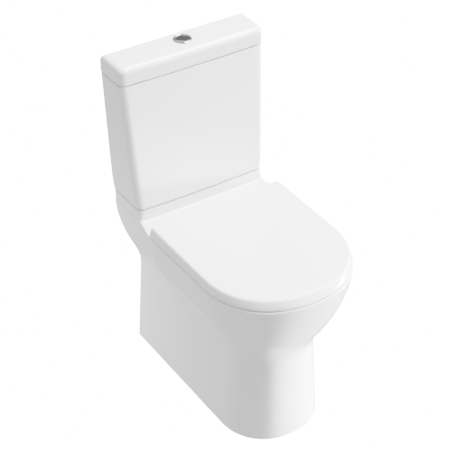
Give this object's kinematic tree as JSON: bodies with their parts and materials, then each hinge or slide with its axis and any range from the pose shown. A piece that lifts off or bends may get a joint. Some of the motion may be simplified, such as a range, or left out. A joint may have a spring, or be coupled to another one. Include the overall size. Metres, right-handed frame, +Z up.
{
  "type": "close coupled toilet",
  "caption": "Close coupled toilet: back-to-wall pan with a rounded bowl over a slim foot, slim tank with a round flush button in its lid, and a wrap-over seat and cover.",
  "frame": {"origin": "on the floor, midway between the wall and the front of the rim, on the centre line", "axes": "+X across the width, -Y towards the front of the bowl, +Z up"},
  "size_m": [0.384, 0.5899, 0.8514],
  "materials": {
    "china": "gloss",
    "duroplast": "gloss",
    "chrome": "polished",
    "steel": "satin",
    "brass": "satin",
    "black_rubber": "matt",
    "white_rubber": "matt",
    "white_plastic": "satin",
    "grey_plastic": "satin",
    "blue_plastic": "satin"
  },
  "bodies": {
    "suite": {"pan": "china", "pan_platform": "china", "pan_basin": "china", "pan_trapway": "china", "pan_flush_duct": "china", "tank": "china", "coupling_gasket": "black_rubber", "coupling_bolt_left": "brass", "coupling_seal_left": "black_rubber", "coupling_washer_left": "black_rubber", "coupling_nut_left": "brass", "tank_pad_left": "white_rubber", "coupling_bolt_right": "brass", "coupling_seal_right": "black_rubber", "coupling_washer_right": "black_rubber", "coupling_nut_right": "brass", "tank_pad_right": "white_rubber", "flush_valve_seat": "white_plastic", "flush_valve_nut": "white_plastic", "flush_valve_cage": "white_plastic", "fill_valve_stem": "white_plastic", "fill_valve_seal": "black_rubber", "fill_valve_nut": "white_plastic", "fill_valve_head": "white_plastic", "hinge_post_left": "chrome", "hinge_pin_left": "steel", "seat_bolt_left": "steel", "seat_washer_left": "black_rubber", "seat_nut_left": "white_plastic", "hinge_post_right": "chrome", "hinge_pin_right": "steel", "seat_bolt_right": "steel", "seat_washer_right": "black_rubber", "seat_nut_right": "white_plastic", "floor_sleeve_left": "white_plastic", "floor_screw_left": "steel", "floor_sleeve_right": "white_plastic", "floor_screw_right": "steel"},
    "ring": {"seat_ring": "duroplast", "ring_buffer_front_left": "white_rubber", "ring_buffer_rear_left": "white_rubber", "ring_buffer_front_right": "white_rubber", "ring_buffer_rear_right": "white_rubber"},
    "cover": {"seat_cover": "duroplast", "cover_buffer_left": "white_rubber", "cover_buffer_right": "white_rubber"},
    "lid": {"tank_lid": "china", "button_bezel": "chrome", "bezel_nut": "white_plastic", "full_return_spring": "steel", "half_return_spring": "steel"},
    "full_button": {"full_flush_button": "chrome", "full_push_rod": "grey_plastic"},
    "half_button": {"half_flush_button": "chrome", "half_push_rod": "grey_plastic"},
    "spindle": {"flush_valve_spindle": "blue_plastic", "flush_valve_seal": "black_rubber"},
    "float": {"float_cup": "grey_plastic", "float_link": "grey_plastic"},
    "lever": {"float_lever": "grey_plastic"}
  },
  "joints": [
    {"name": "seat_ring_hinge", "type": "hinge", "parent": "suite", "child": "ring", "pos_m": [0, 0.108, 0.4625], "axis": [-1, 0, 0], "range_deg": [0, 98]},
    {"name": "seat_cover_hinge", "type": "hinge", "parent": "ring", "child": "cover", "pos_m": [0, 0.108, 0.4625], "axis": [1, 0, 0], "range_deg": [-98, 0]},
    {"name": "tank_lid_lift", "type": "slide", "parent": "suite", "child": "lid", "axis": [0, 0, 1], "range_m": [0, 0.12]},
    {"name": "full_flush_press", "type": "slide", "parent": "lid", "child": "full_button", "axis": [0, 0, -1], "range_m": [0, 0.005], "stiffness_N_per_m": 500, "springref_m": -0.006, "deforming": ["full_return_spring"]},
    {"name": "half_flush_press", "type": "slide", "parent": "lid", "child": "half_button", "axis": [0, 0, -1], "range_m": [0, 0.005], "stiffness_N_per_m": 400, "springref_m": -0.006, "deforming": ["half_return_spring"]},
    {"name": "spindle_lift", "type": "slide", "parent": "suite", "child": "spindle", "axis": [0, 0, 1], "range_m": [0, 0.02]},
    {"name": "float_rise", "type": "slide", "parent": "suite", "child": "float", "axis": [0, 0, 1], "range_m": [0, 0.008]},
    {"name": "float_lever_tip", "type": "hinge", "parent": "suite", "child": "lever", "pos_m": [0.115, 0.24, 0.736], "axis": [0, -1, 0], "range_deg": [0, 14]}
  ],
  "couplings": [
    {"joint": "spindle_lift", "follows": "full_flush_press", "ratio": 4},
    {"joint": "float_lever_tip", "follows": "float_rise", "rad_per_m": 29.6}
  ]
}
